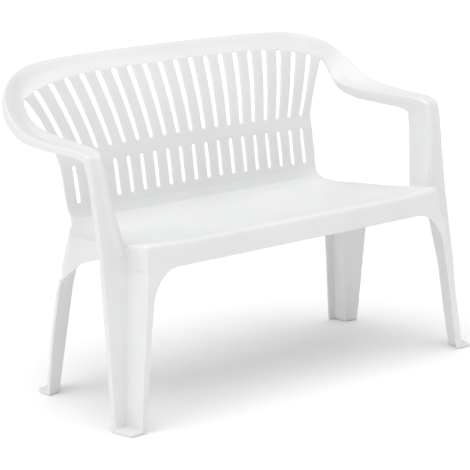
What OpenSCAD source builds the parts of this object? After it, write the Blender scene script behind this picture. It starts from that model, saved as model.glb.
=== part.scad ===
// Two-seat garden bench, one injection moulding in white polypropylene.
// Frame: X along the width, the sitter faces -Y, Z up, origin on the floor under the middle.
// Every node is a named region of the same thin shell and meets its neighbours face to face.

/* [Overall] */
// wall thickness of the moulding
wall = 4.5; // [3:0.1:7]
// front edge of the seat, measured before centring
front_y = -250; // [-270:1:-230]
// rear face of the top rail, measured before centring
rear_y = 290.25; // [270:0.01:310]
// front tip of the front feet, measured before centring
toe_y = -260; // [-275:1:-252]

/* [Seat] */
// height of the seat rim at the front
seat_z = 404; // [380:1:430]
// half width of the seat between the side walls
seat_half = 425; // [400:1:440]
// lower edge of the front apron
apron_z = 350; // [330:1:370]
// rise of the seat at its sides
side_rise = 6; // [0:0.5:12]

/* [Back] */
// slots across the back, on each side of the middle one
side_slots = 9; // [7:1:11]
// slot spacing at the top rail
pitch_top = 44.8; // [42:0.1:47]
// slot spacing at the middle band
pitch_mid = 38.2; // [36:0.1:40]
// slot spacing at the foot of the back
pitch_low = 37.3; // [36:0.1:40]
// half width of an upper slot at its top
slot_top = 7.2; // [5:0.1:9]
// half width of an upper slot at its foot
slot_mid = 4.8; // [3:0.1:7]
// half width of a lower slot
slot_low = 4.6; // [3:0.1:7]

/* [Legs] */
// top of the foot pads
pad_z = 8; // [5:0.5:12]

/* [Hidden] */
y_mid = (rear_y + toe_y) / 2;
last = side_slots + 1;
arm_end = 19;
post_end = 24;
plastic = [0.93, 0.94, 0.94];

// ---------- small helpers ----------
function mix(a, b, t) = a + (b - a) * t;
function unit(v) = v / norm(v);
function curve(a, b, c, d, t) = 0.5 * (2 * b + (c - a) * t + (2 * a - 5 * b + 4 * c - d) * t * t
  + (3 * b - a - 3 * c + d) * t * t * t);
function along(k, s) = let (n = len(k) - 1, i = max(0, min(floor(s), n - 1)), t = s - i,
  first = i > 0 ? k[i - 1] : 2 * k[0] - k[1], end = i < n - 1 ? k[i + 2] : 2 * k[n] - k[n - 1])
  curve(first, k[i], k[i + 1], end, t);
function straight(k, s) = let (n = len(k) - 1, i = max(0, min(floor(s), n - 1))) mix(k[i], k[i + 1], s - i);
function table(k, v, i = 0) = v <= k[i][0] || i >= len(k) - 2
  ? (i == 0 || i >= len(k) - 2 ? step_mix(k, v, i) : step_mix(k, v, i - 1))
  : (v < k[i + 1][0] ? step_mix(k, v, i) : table(k, v, i + 1));
function step_mix(k, v, i) = mix(k[i][1], k[i + 1][1],
  max(0, min(1, (v - k[i][0]) / (k[i + 1][0] - k[i][0]))));

// closed shell between two grids of points, rows by columns, turned so that its faces look outwards
function turned(g, keep) = keep ? g : [for (i = [len(g) - 1:-1:0]) g[i]];
module shell(outer, inner) {
  r = len(outer);
  c = len(outer[0]);
  m = r * c;
  i = floor(r / 2) - 1;
  j = floor(c / 2) - 1;
  keep = cross(outer[i][j + 1] - outer[i][j], outer[i + 1][j] - outer[i][j]) * (inner[i][j] - outer[i][j]) > 0;
  face = turned(outer, keep);
  back = turned(inner, keep);
  pts = concat([for (a = face) for (p = a) p], [for (a = back) for (p = a) p]);
  front_faces = [for (i = [0:r - 2]) for (j = [0:c - 2]) each [
    [i * c + j, i * c + j + 1, (i + 1) * c + j + 1], [i * c + j, (i + 1) * c + j + 1, (i + 1) * c + j]]];
  back_faces = [for (f = front_faces) [f[2] + m, f[1] + m, f[0] + m]];
  rim = concat([for (j = [0:c - 2]) j], [for (i = [0:r - 2]) i * c + c - 1],
    [for (j = [c - 1:-1:1]) (r - 1) * c + j], [for (i = [r - 1:-1:1]) i * c]);
  n = len(rim);
  edge_faces = [for (i = [0:n - 1]) let (a = rim[i], b = rim[(i + 1) % n]) each [
    [b, a, a + m], [b, a + m, b + m]]];
  polyhedron(points = pts, faces = concat(front_faces, back_faces, edge_faces), convexity = 8);
}

// closed tube through a stack of polygons
module stack(rows) {
  n = len(rows[0]);
  r = len(rows);
  pts = [for (a = rows) for (p = a) p];
  sides = [for (i = [0:r - 2]) for (j = [0:n - 1]) let (k = (j + 1) % n) each [
    [i * n + j, (i + 1) * n + j, (i + 1) * n + k], [i * n + j, (i + 1) * n + k, i * n + k]]];
  low = [[for (j = [0:n - 1]) j]];
  top = [[for (j = [n - 1:-1:0]) (r - 1) * n + j]];
  polyhedron(points = pts, faces = concat(sides, low, top), convexity = 8);
}

module centred() {
  translate([0, -y_mid, 0])
    children();
}

module flipped(side) {
  mirror([side < 0 ? 1 : 0, 0, 0])
    children();
}

// ---------- back: slot ends as curves of the slot number ----------
function far(j) = pow(abs(j) / side_slots, 1.6);
function x_of(j, pitch, edge) = abs(j) <= side_slots ? j * pitch
  : sign(j) * mix(side_slots * pitch, edge, abs(j) - side_slots);
function upper_top(j) = [x_of(j, pitch_top, 436), 230 - 15.6 * pow(abs(j) / 9, 4),
  734.6 - 28.8 * pow(abs(j) / 9, 4.2)];
function upper_low(j) = [x_of(j, pitch_mid, 377), 176.2 + 7.4 * far(j), 561.4 - 8 * far(j)];
function lower_top(j) = [x_of(j, pitch_mid - 0.7, 373), 170.6 + 4 * far(j), 530 - 6.5 * far(j)];
function lower_low(j) = [x_of(j, pitch_low, 370), 163.5, 442 - 7 * far(j)];

// one slot's centre line and half width from foot (0) to top (1)
function hollow(j, v, upper) = let (edge = abs(j) >= last,
  a = upper ? upper_low(j) : lower_low(j), b = upper ? upper_top(j) : lower_top(j),
  bow = upper ? [edge ? -sign(j) * 32 : -sign(j) * 5 * far(j), -22, 0] : [0, -2, 0])
  mix(a, b, v) + bow * v * (1 - v);
function half_gap(j, v, upper) = abs(j) >= last ? 0
  : let (h = upper ? mix(slot_mid, slot_top, v) : slot_low, run = upper ? 174 : 88,
    d = min(v, 1 - v) * run) (d >= h ? h : sqrt(max(0, h * h - (h - d) * (h - d))));
function stations(upper) = let (h = upper ? slot_top / 174 : slot_low / 88) concat(
  [for (a = [0:30:90]) h * (1 - cos(a))], [for (v = [1:7]) v / 8],
  [for (a = [90:-30:0]) 1 - h * (1 - cos(a))]);
function slat_row(k, v, upper) = let (a = hollow(k, v, upper), b = hollow(k + 1, v, upper))
  [a + [half_gap(k, v, upper), 0, 0], (hollow(k + 0.5, v, upper)), b - [half_gap(k + 1, v, upper), 0, 0]];
module slat(k) {
  color(plastic)
    centred() {
      for (upper = [true, false]) {
        face = [for (v = stations(upper)) slat_row(k, v, upper)];
        back = [for (a = face) [for (p = a) p + [0, wall, 0]]];
        shell(face, back);
      }
    }
}

function halves(a, b) = [for (j = [a * 2:b * 2]) j / 2];
module mid_band() {
  color(plastic)
    centred() {
      face = [for (v = [0, 0.5, 1]) [for (j = halves(-last, last))
        mix(lower_top(j), upper_low(j), v)]];
      back = [for (a = face) [for (p = a) p + [0, wall, 0]]];
      shell(face, back);
    }
}

// ---------- rail, arm and arm post: one swept section ----------
rail_keys = [
  [[0, 230, 735], [0, 244, 739], [0, 262, 749], [0, 282, 771], [0, 290, 752]],
  [[90, 230, 735], [91, 244, 738], [94, 262, 749], [97, 283, 771], [97, 290, 752]],
  [[180, 230, 733], [182, 244, 737], [188, 263, 748], [194, 284, 770], [195, 290, 751]],
  [[270, 227, 729], [272, 241, 734], [281, 261, 745], [291, 283, 767], [293, 289, 748]],
  [[358, 221, 716], [361, 233, 721], [373, 251, 734], [388, 269, 759], [393, 277, 738]],
  [[436, 206, 690], [440, 214, 697], [447, 222, 713], [456, 232, 738], [466, 238, 715]],
  [[442, 158, 622], [441, 168, 642], [466, 178, 660], [497, 193, 697], [505, 190, 664]],
  [[444, 92, 597], [441, 96, 624], [474, 102, 622], [512, 112, 642], [516, 110, 615]],
  [[449, 0, 588], [446, 0, 617], [478, 0, 612], [513, 0, 620], [517, 0, 602]],
  [[459, -85, 577], [458, -136, 608], [481, -140, 607], [503, -136, 609], [507, -124, 594]],
  [[458, -98, 553], [461, -165, 576], [481, -167, 577], [500, -166, 577], [502, -150, 574]],
  [[445, -112, 480], [453, -175, 490], [476, -176, 490], [497, -176, 490], [499, -160, 490]],
  [[430, -125, 380], [430, -186, 380], [463, -187, 380], [495, -187, 380], [497, -171, 380]]];
function rail_raw(u, v) = let (s = abs(u) / 2, p = [for (i = [0:4]) along([for (k = rail_keys) k[i]], s)],
  q = concat([abs(u) <= last ? upper_top(abs(u)) : p[0]], [for (i = [1:4]) p[i]])) along(q, v);
function rail_side(u, v) = let (p = rail_raw(u, v)) [sign(u + 0.0001) * p[0], p[1], p[2]];
// direction of the wall from the shown side, turned to +Y where the slats join
function rail_normal(u, v) = let (e = 0.02, w = abs(u),
  du = rail_raw(w + e, v) - rail_raw(max(w - e, 0), v),
  lo = max(v - e, 0), hi = min(v + e, 4), dv = rail_raw(w, hi) - rail_raw(w, lo),
  n = unit(cross(du, dv)), flat = w < 0.01 ? unit([0, n[1], n[2]]) : n,
  hold = max(0, 1 - v * 2) * (w <= last ? 1 : max(0, 1 - (w - last))),
  foot = max(0, w - post_end + 1) , lie = unit([flat[0], flat[1], flat[2] * (1 - foot)]))
  unit(mix(-lie, [0, 1, 0], hold));
function rail_back(u, v) = let (n = rail_normal(u, v), p = rail_raw(u, v) + n * wall)
  [sign(u + 0.0001) * p[0], p[1], p[2]];
across = [for (v = [0:8]) v / 2];
module sweep(a, b, step) {
  us = [for (i = [0:round((b - a) / step)]) a + i * step];
  face = [for (v = across) [for (u = us) rail_side(u, v)]];
  back = [for (v = across) [for (u = us) rail_back(u, v)]];
  shell(face, back);
}
module top_rail() {
  color(plastic)
    centred()
      sweep(-last, last, 0.5);
}
module arm_bow(side) {
  color(plastic)
    centred()
      flipped(side)
        sweep(last, 14, 0.25);
}
module armrest(side) {
  color(plastic)
    centred()
      flipped(side)
        sweep(14, arm_end, 0.25);
}
module arm_post(side) {
  color(plastic)
    centred()
      flipped(side)
        sweep(arm_end, post_end, 0.25);
}

// ---------- seat: rows from the foot of the back to the front rim ----------
// each row: y, z, half width, back-offset y, back-offset z
seat_rows = [
  [163.5, 442, 370, 1, 0], [160, 420, 369, 1, 0], [152, 400, 367, 0.85, -0.5],
  [136, 387, 378, 0.5, -0.85], [110, 380, 396, 0.1, -1], [60, 379, 419, 0, -1],
  [0, 381, 424, 0, -1], [-60, 385, 425, 0, -1], [-125, 390, 425, 0, -1],
  [-186, 396, 425, 0, -1], [-225, 401, 421, 0, -1], [-243, 404, 415, 0.2, -1],
  [-250, 401, 408, 0.9, -0.9]];
function span(i, j) = let (t = j / last) sign(t) * (abs(t) <= 1 ? abs(t) : 1);
function seat_point(i, j) = i == 0 ? lower_low(j) : let (r = seat_rows[i], t = span(i, j))
  [r[2] * t, r[0] + (i > 10 ? 9 * pow(abs(t), 12) : 0), r[1] + side_rise * pow(abs(t), 6) * (i > 1 ? 1 : 0)
    - (i > 3 && i < 10 ? 4 * (1 - t * t) : 0)];
function seat_back(i, j) = let (r = seat_rows[i]) seat_point(i, j) + wall * [0, r[3], r[4]];
module seat_piece(a, b) {
  face = [for (i = [a:b]) [for (j = halves(-last, last)) seat_point(i, j)]];
  back = [for (i = [a:b]) [for (j = halves(-last, last)) seat_back(i, j)]];
  shell(face, back);
}
module lower_back() {
  color(plastic)
    centred()
      seat_piece(0, 4);
}
module seat_panel() {
  color(plastic)
    centred()
      seat_piece(4, 12);
}

// ---------- front apron: from the rim down to the legs ----------
apron_rows = [[0, 0, 0], [-2.5, -2.5, 4], [-4.5, -8, 8], [-5, -18, 11], [-5.5, -30, 12], [-6, -41, 13],
  [-6, -51, 14]];
drop = len(apron_rows) - 1;
function apron_point(r, j, deep) = let (p = seat_point(12, j), a = apron_rows[r],
  t = span(12, j), z = r == drop ? apron_z : p[2] + a[1])
  deep == 0 ? [p[0] + a[2] * t, p[1] + a[0], z]
  : (r == 0 ? seat_back(12, j) : [p[0] + a[2] * t - wall * pow(abs(t), 9) * sign(t), p[1] + a[0] + wall, z]);
module front_apron() {
  color(plastic)
    centred()
      shell([for (r = [0:drop]) [for (j = halves(-last, last)) apron_point(r, j, 0)]],
        [for (r = [0:drop]) [for (j = halves(-last, last)) apron_point(r, j, 1)]]);
}

// ---------- side apron: from the seat's side edge down to the arch ----------
arch = [[136, 303, 411], [110, 297, 430], [60, 290, 456], [0, 334, 440], [-60, 351, 432],
  [-125, 356, 430], [-182, 352, 430]];
// rows of the seat edge that the side wall hangs from, front to rear
side_ids = [12, 11, 10, 9, 8, 7, 6, 5, 4, 3];
front_wall = [[11, 426], [10, 429], [9, 430]];
function wall_low(i) = i >= 9 ? [for (w = front_wall) if (w[0] == i)
    [w[1], seat_point(i, last)[1], apron_z]][0]
  : [arch[i - 3][2], i == 9 ? -186 : seat_point(i, last)[1], arch[i - 3][1]];
function wall_point(i, v, deep) = i == 12 ? apron_point(v, last, deep) : side_point(i, v, deep);
function side_point(i, v, deep) = let (p = seat_point(i, last), q = wall_low(i),
  x = i >= 9 ? q[0] : (v < 3 ? mix(p[0] + 5, q[0], max(0, v - 2)) : q[0]),
  rim = [p, p + [3.5, 0, -2.5], [max(p[0] + 5, i >= 8 ? min(q[0], 430) : 0), p[1], p[2] - 7], q],
  f = v <= 2 ? rim[v] : mix(rim[2], q, (v - 2) / 4))
  deep == 0 ? f : (v == 0 ? seat_back(i, last) : f + wall * (v == 1 ? [-0.75, 0, -0.85] : [-1, 0, 0]));
module side_apron(side) {
  color(plastic)
    centred()
      flipped(side)
        shell([for (v = [0:6]) [for (i = side_ids) wall_point(i, v, 0)]],
          [for (v = [0:6]) [for (i = side_ids) wall_point(i, v, 1)]]);
}

// ---------- rear apron: a short wall under the foot of the back ----------
module rear_apron() {
  color(plastic)
    centred() {
      rows = [for (j = halves(-last, last)) let (a = seat_back(3, j), b = seat_back(2, j), x = b[0])
        [[x, b[1], b[2]], [x, 158, 380], [x, 160, 332], [x, 160 - wall, 332], [x, 158 - wall, 378],
          [x, a[1], a[2]]]];
      stack(rows);
    }
}

// ---------- legs: a Z section, outer flange, web and inner flange ----------
// tables by height: outer edge, concave corner, front corner and inner edge of the front leg
f_out = [[0, 506], [209, 502], [350, 497], [380, 495]];
f_out_y = [[0, -210], [209, -201], [280, -195], [350, -190], [380, -187]];
f_web_rear = [[0, 475], [100, 465], [209, 454], [320, 437], [350, 430], [380, 430]];
f_web_rear_y = [[0, -211], [100, -207], [209, -204], [320, -195], [350, -188], [380, -186]];
f_web_front = [[0, 471], [100, 460], [200, 447], [315, 431], [350, 423]];
f_web_front_y = [[0, -259], [200, -259.5], [315, -256], [350, -247]];
f_inner = [[0, 454], [100, 442], [209, 428], [280, 417], [300, 411], [320, 399], [336, 383], [345, 370],
  [350, 352]];
f_inner_y = [[0, -256], [280, -259], [330, -256], [350, -254.5]];
front_levels = [0, 50, 100, 150, 209, 245, 273, 290, 304, 315, 325, 336, 345, 350];
lip = 14;
function front_out(z) = let (xo = table(f_out, z), yo = table(f_out_y, z), x = table(f_web_rear, z),
  y = table(f_web_rear_y, z)) [[xo, yo, z], [x, y, z], [x, y + wall, z], [xo - 2, yo + wall, z],
    [xo - 1, yo + lip, z], [xo + 2, yo + lip, z]];
function front_web(z) = let (x = table(f_web_rear, z), y = table(f_web_rear_y, z),
  xf = table(f_web_front, z), yf = table(f_web_front_y, z))
  [[x, y, z], [xf, yf, z], [xf - wall, yf + wall, z], [x - wall, y + wall, z], [x, y + wall, z]];
function front_in(z) = let (xf = table(f_web_front, z), yf = table(f_web_front_y, z),
  xi = table(f_inner, z), yi = table(f_inner_y, z))
  [[xf, yf, z], [xi, yi, z], [xi, yi + wall, z], [xf - wall, yf + wall, z]];
module mirrored_stack(side, rows) {
  color(plastic)
    centred()
      flipped(side)
        stack(rows);
}
module front_leg_outer(side) {
  mirrored_stack(side, [for (z = front_levels) front_out(z)]);
}
module front_leg_web(side) {
  mirrored_stack(side, [for (z = front_levels) front_web(z)]);
}
module front_leg_inner(side) {
  mirrored_stack(side, [for (z = front_levels) front_in(z)]);
}
// short flange that carries the arm post down to the leg
module post_root(side) {
  mirrored_stack(side, [for (z = [apron_z, 365, 380]) front_out(z)]);
}
module front_foot(side) {
  mirrored_stack(side, [for (z = [0, pad_z]) let (o = front_out(z), w = front_web(z), g = z == 0 ? 0 : 1)
    [o[0], [497 - g, toe_y + g, z], [w[1][0] + 3, toe_y + g, z], w[1], o[1]]]);
}
// rear leg: outer edge, front corner, inner edge
r_out = [[0, 469], [150, 465], [260, 458], [289, 456], [290.5, 443], [304, 436], [318, 430], [350, 417],
  [371, 410], [376, 407]];
r_out_y = [[0, 140], [150, 105], [260, 76], [289, 62], [290.5, 66], [376, 66]];
r_lip = [[0, 14], [289, 14], [290.5, 4.8], [376, 4.8]];
r_corner = [[0, 435], [260, 404], [300, 396], [340, 384], [376, 372]];
r_corner_y = [[0, 149], [260, 102], [376, 81]];
r_inner = [[0, 417], [260, 380], [376, 346]];
web_deep = 43;
rear_levels = [0, 50, 100, 150, 200, 260, 289, 290.5, 304, 318, 334, 350, 371, 376];
// height of the seat's underside over a point, for the legs' tops
function under(x, y) = let (i = y > 110 ? 3 : (y > 60 ? 4 : 5), a = seat_rows[i], b = seat_rows[i + 1],
  s = (a[0] - y) / (a[0] - b[0]), t = min(1, x / mix(a[2], b[2], s)))
  mix(a[1], b[1], s) + side_rise * pow(t, 6) - 4 * (1 - t * t) - wall - 0.6;
function topped(row, z) = z < 376 ? row : [for (p = row) [p[0], p[1], under(p[0], p[1])]];
function rear_out(z) = let (xo = table(r_out, z), yo = table(r_out_y, z), x = table(r_corner, z),
  y = table(r_corner_y, z), e = table(r_lip, z)) [[xo, yo, z], [x, y, z], [x + wall, y + wall, z],
    [xo - 4, yo + wall, z], [xo - 4, yo + e, z], [xo, yo + e, z]];
function rear_web(z) = let (x = table(r_corner, z), y = table(r_corner_y, z))
  [[x, y, z], [x, y + web_deep, z], [x + wall, y + web_deep + wall, z], [x + wall, y + wall, z]];
function rear_in(z) = let (x = table(r_corner, z), y = table(r_corner_y, z) + web_deep,
  xi = table(r_inner, z)) [[x, y, z], [xi, y + 3, z], [xi, y + 3 + wall, z], [x + wall, y + wall, z]];
module rear_leg_outer(side) {
  mirrored_stack(side, [for (z = rear_levels) topped(rear_out(z), z)]);
}
module rear_leg_web(side) {
  mirrored_stack(side, [for (z = rear_levels) topped(rear_web(z), z)]);
}
module rear_leg_inner(side) {
  mirrored_stack(side, [for (z = rear_levels) topped(rear_in(z), z)]);
}
module rear_foot(side) {
  mirrored_stack(side, [for (z = [0, pad_z]) let (o = rear_out(z), w = rear_web(z))
    [w[3], w[2], [464, 196, z], [472, 170, z], o[5], o[4], o[3]]]);
}

top_rail();
arm_bow(-1);  // left_arm_bow
arm_bow(1);  // right_arm_bow
armrest(-1);  // left_armrest
armrest(1);  // right_armrest
arm_post(-1);  // left_arm_post
arm_post(1);  // right_arm_post
mid_band();
lower_back();
seat_panel();
front_apron();
rear_apron();
side_apron(-1);  // left_side_apron
side_apron(1);  // right_side_apron
post_root(-1);  // left_post_root
post_root(1);  // right_post_root
front_leg_outer(-1);  // front_left_leg_outer
front_leg_web(-1);  // front_left_leg_web
front_leg_inner(-1);  // front_left_leg_inner
front_leg_outer(1);  // front_right_leg_outer
front_leg_web(1);  // front_right_leg_web
front_leg_inner(1);  // front_right_leg_inner
rear_leg_outer(-1);  // rear_left_leg_outer
rear_leg_web(-1);  // rear_left_leg_web
rear_leg_inner(-1);  // rear_left_leg_inner
rear_leg_outer(1);  // rear_right_leg_outer
rear_leg_web(1);  // rear_right_leg_web
rear_leg_inner(1);  // rear_right_leg_inner
front_foot(-1);  // front_left_foot
front_foot(1);  // front_right_foot
rear_foot(-1);  // rear_left_foot
rear_foot(1);  // rear_right_foot
slat(-10);  // slat_01
slat(-9);  // slat_02
slat(-8);  // slat_03
slat(-7);  // slat_04
slat(-6);  // slat_05
slat(-5);  // slat_06
slat(-4);  // slat_07
slat(-3);  // slat_08
slat(-2);  // slat_09
slat(-1);  // slat_10
slat(0);  // slat_11
slat(1);  // slat_12
slat(2);  // slat_13
slat(3);  // slat_14
slat(4);  // slat_15
slat(5);  // slat_16
slat(6);  // slat_17
slat(7);  // slat_18
slat(8);  // slat_19
slat(9);  // slat_20
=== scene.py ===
"""Two-seat garden bench, one white polypropylene moulding, on a pale floor."""

import math

import bmesh
import bpy
from mathutils import Matrix, Vector


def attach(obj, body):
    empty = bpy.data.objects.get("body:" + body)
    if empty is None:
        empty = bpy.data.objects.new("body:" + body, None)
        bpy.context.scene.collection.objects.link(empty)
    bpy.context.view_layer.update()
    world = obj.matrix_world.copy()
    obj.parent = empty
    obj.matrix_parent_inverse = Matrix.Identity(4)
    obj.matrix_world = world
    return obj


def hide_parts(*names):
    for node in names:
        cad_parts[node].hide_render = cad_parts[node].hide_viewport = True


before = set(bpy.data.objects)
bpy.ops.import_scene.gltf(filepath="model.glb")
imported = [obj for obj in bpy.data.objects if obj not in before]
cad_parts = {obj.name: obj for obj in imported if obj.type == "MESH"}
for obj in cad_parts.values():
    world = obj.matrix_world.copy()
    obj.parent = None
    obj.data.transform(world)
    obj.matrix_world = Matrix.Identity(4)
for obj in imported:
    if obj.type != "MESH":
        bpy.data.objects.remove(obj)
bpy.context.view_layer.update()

VOXEL = 0.0019          # size of the cells that the skin is rebuilt from
SMOOTHING = 9           # passes that soften the edges into small fillets
KEPT_FACES = 190000     # triangles left on the skin

MIX_FACTOR, MIX_A, MIX_B, MIX_COLOUR = 0, 6, 7, 2      # sockets of a colour Mix node

FLOOR_HALF = 60.0
FLOOR_DROP = 0.0005     # the floor lies just under the feet
FLOOR_WHITE = (0.98, 0.98, 0.98, 1)
STUDIO_STRENGTH = 0.62

LENS_MM, SENSOR_MM = 135.9, 36.0
CAMERA_PLACE = (-2.4094, -3.3765, 1.2078)
FARTHEST_SEEN = 300


# ---------- the moulding: one seamless skin over the CAD nodes ----------
def joined_nodes(names):
    """One mesh that holds a copy of every named CAD node."""
    bm = bmesh.new()
    for name in names:
        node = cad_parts[name]
        mesh = node.data.copy()
        mesh.transform(node.matrix_world)
        bm.from_mesh(mesh)
        bpy.data.meshes.remove(mesh)
    mesh = bpy.data.meshes.new("bench_moulding")
    bm.to_mesh(mesh)
    bm.free()
    mesh.materials.clear()
    piece = bpy.data.objects.new("bench_moulding", mesh)
    bpy.context.scene.collection.objects.link(piece)
    return piece


def apply_modifiers(piece):
    graph = bpy.context.evaluated_depsgraph_get()
    mesh = bpy.data.meshes.new_from_object(piece.evaluated_get(graph), depsgraph=graph)
    piece.modifiers.clear()
    piece.data = mesh


def moulded(piece):
    """Melts the nodes into one skin with small soft fillets, as a mould leaves it."""
    remesh = piece.modifiers.new("skin", "REMESH")
    remesh.mode = "VOXEL"
    remesh.voxel_size = VOXEL
    remesh.adaptivity = 0.0
    smooth = piece.modifiers.new("soften", "SMOOTH")
    smooth.factor = 0.5
    smooth.iterations = SMOOTHING
    apply_modifiers(piece)
    faces = sum(len(p.vertices) - 2 for p in piece.data.polygons)
    if faces > KEPT_FACES:
        thin = piece.modifiers.new("thin", "DECIMATE")
        thin.ratio = KEPT_FACES / faces
        apply_modifiers(piece)
    for poly in piece.data.polygons:
        poly.use_smooth = True
    return piece


# ---------- white polypropylene ----------
def white_plastic():
    mat = bpy.data.materials.new("white_plastic")
    mat.use_nodes = True
    tree = mat.node_tree
    nodes, links = tree.nodes, tree.links
    shader = nodes["Principled BSDF"]
    shader.inputs["IOR"].default_value = 1.49
    shader.inputs["Subsurface Weight"].default_value = 0.08
    shader.inputs["Subsurface Radius"].default_value = (0.004, 0.004, 0.0045)
    shader.inputs["Subsurface Scale"].default_value = 1.0
    place = nodes.new("ShaderNodeTexCoord")

    def noise(scale, detail):
        n = nodes.new("ShaderNodeTexNoise")
        n.inputs["Scale"].default_value = scale
        n.inputs["Detail"].default_value = detail
        n.inputs["Roughness"].default_value = 0.5
        links.new(place.outputs["Object"], n.inputs["Vector"])
        return n.outputs["Fac"]

    def spread(source, low, high):
        r = nodes.new("ShaderNodeMapRange")
        r.inputs["From Min"].default_value = 0.3
        r.inputs["From Max"].default_value = 0.7
        r.inputs["To Min"].default_value = low
        r.inputs["To Max"].default_value = high
        links.new(source, r.inputs["Value"])
        return r.outputs["Result"]

    # faint flow clouds in the white, and the white turns darker in fine speckles towards the bottom
    tone = nodes.new("ShaderNodeMix")
    tone.data_type = "RGBA"
    tone.inputs[MIX_A].default_value = (0.765, 0.77, 0.775, 1)
    tone.inputs[MIX_B].default_value = (0.805, 0.81, 0.815, 1)
    links.new(spread(noise(5.0, 4), 0, 1), tone.inputs[MIX_FACTOR])
    parts = nodes.new("ShaderNodeSeparateXYZ")
    links.new(place.outputs["Object"], parts.inputs[0])
    low = nodes.new("ShaderNodeMapRange")
    low.inputs["From Min"].default_value = 0.0
    low.inputs["From Max"].default_value = 0.06
    low.inputs["To Min"].default_value = 0.35
    low.inputs["To Max"].default_value = 0.0
    links.new(parts.outputs["Z"], low.inputs["Value"])
    # mask of the darker speckles: fine noise, fading out over the lowest 6 cm above the floor
    bottom_darkening = nodes.new("ShaderNodeMath")
    bottom_darkening.operation = "MULTIPLY"
    links.new(low.outputs["Result"], bottom_darkening.inputs[0])
    links.new(spread(noise(60, 5), 0, 1), bottom_darkening.inputs[1])
    bottom_darkened_tone = nodes.new("ShaderNodeMix")
    bottom_darkened_tone.data_type = "RGBA"
    bottom_darkened_tone.inputs[MIX_B].default_value = (0.66, 0.65, 0.63, 1)
    links.new(bottom_darkening.outputs[0], bottom_darkened_tone.inputs[MIX_FACTOR])
    links.new(tone.outputs[MIX_COLOUR], bottom_darkened_tone.inputs[MIX_A])
    links.new(bottom_darkened_tone.outputs[MIX_COLOUR], shader.inputs["Base Color"])
    links.new(spread(noise(24, 5), 0.30, 0.42), shader.inputs["Roughness"])
    # very fine moulded grain
    bump = nodes.new("ShaderNodeBump")
    bump.inputs["Strength"].default_value = 0.06
    bump.inputs["Distance"].default_value = 0.0004
    links.new(noise(900, 2), bump.inputs["Height"])
    links.new(bump.outputs["Normal"], shader.inputs["Normal"])
    return mat


bench = moulded(joined_nodes(sorted(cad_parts)))
bench.data.materials.clear()
bench.data.materials.append(white_plastic())
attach(bench, "root")
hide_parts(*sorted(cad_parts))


# ---------- floor and backdrop ----------
def plain(name, colour, rough):
    mat = bpy.data.materials.new(name)
    mat.use_nodes = True
    shader = mat.node_tree.nodes["Principled BSDF"]
    shader.inputs["Base Color"].default_value = colour
    shader.inputs["Roughness"].default_value = rough
    return mat


floor_mesh = bpy.data.meshes.new("floor")
corners = [(-1, -1), (1, -1), (1, 1), (-1, 1)]
floor_mesh.from_pydata([(x * FLOOR_HALF, y * FLOOR_HALF, 0) for x, y in corners], [], [(0, 1, 2, 3)])
floor = bpy.data.objects.new("floor", floor_mesh)
floor.location.z = -FLOOR_DROP
floor_mesh.materials.append(plain("pale_floor", FLOOR_WHITE, 0.9))
bpy.context.scene.collection.objects.link(floor)


# ---------- light: a white studio, a very soft overhead and a weak key from the left ----------
def soft_sun(name, towards, strength, spread_deg):
    data = bpy.data.lights.new(name, "SUN")
    data.energy = strength
    data.angle = math.radians(spread_deg)
    lamp = bpy.data.objects.new(name, data)
    lamp.rotation_euler = Vector(towards).to_track_quat("-Z", "Y").to_euler()
    lamp.location = (0, 0, 3)
    bpy.context.scene.collection.objects.link(lamp)


soft_sun("overhead", (0.12, 0.15, -0.98), 1.45, 60)
soft_sun("left_key", (1.0, 0.0, -0.40), 0.45, 55)

world = bpy.data.worlds.new("studio")
world.use_nodes = True
world.node_tree.nodes["Background"].inputs["Color"].default_value = (1, 1, 1, 1)
world.node_tree.nodes["Background"].inputs["Strength"].default_value = STUDIO_STRENGTH
bpy.context.scene.world = world
bpy.context.scene.view_settings.view_transform = "Standard"

# ---------- camera: from the bench's front left, a little above the seat ----------
AZIMUTH, ELEVATION, ROLL = math.radians(35.497), math.radians(12.022), math.radians(-3.0)
forward = Vector(
    (
        math.sin(AZIMUTH) * math.cos(ELEVATION),
        math.cos(AZIMUTH) * math.cos(ELEVATION),
        -math.sin(ELEVATION),
    )
)
level = Vector((math.cos(AZIMUTH), -math.sin(AZIMUTH), 0))
upright = level.cross(forward)
side = math.cos(ROLL) * level + math.sin(ROLL) * upright
top = -math.sin(ROLL) * level + math.cos(ROLL) * upright
lens = bpy.data.cameras.new("camera")
lens.lens = LENS_MM
lens.sensor_width = SENSOR_MM
lens.clip_end = FARTHEST_SEEN
camera = bpy.data.objects.new("camera", lens)
turn = Matrix((side, top, -forward)).transposed().to_4x4()
camera.matrix_world = Matrix.Translation(CAMERA_PLACE) @ turn
bpy.context.scene.collection.objects.link(camera)
bpy.context.scene.camera = camera
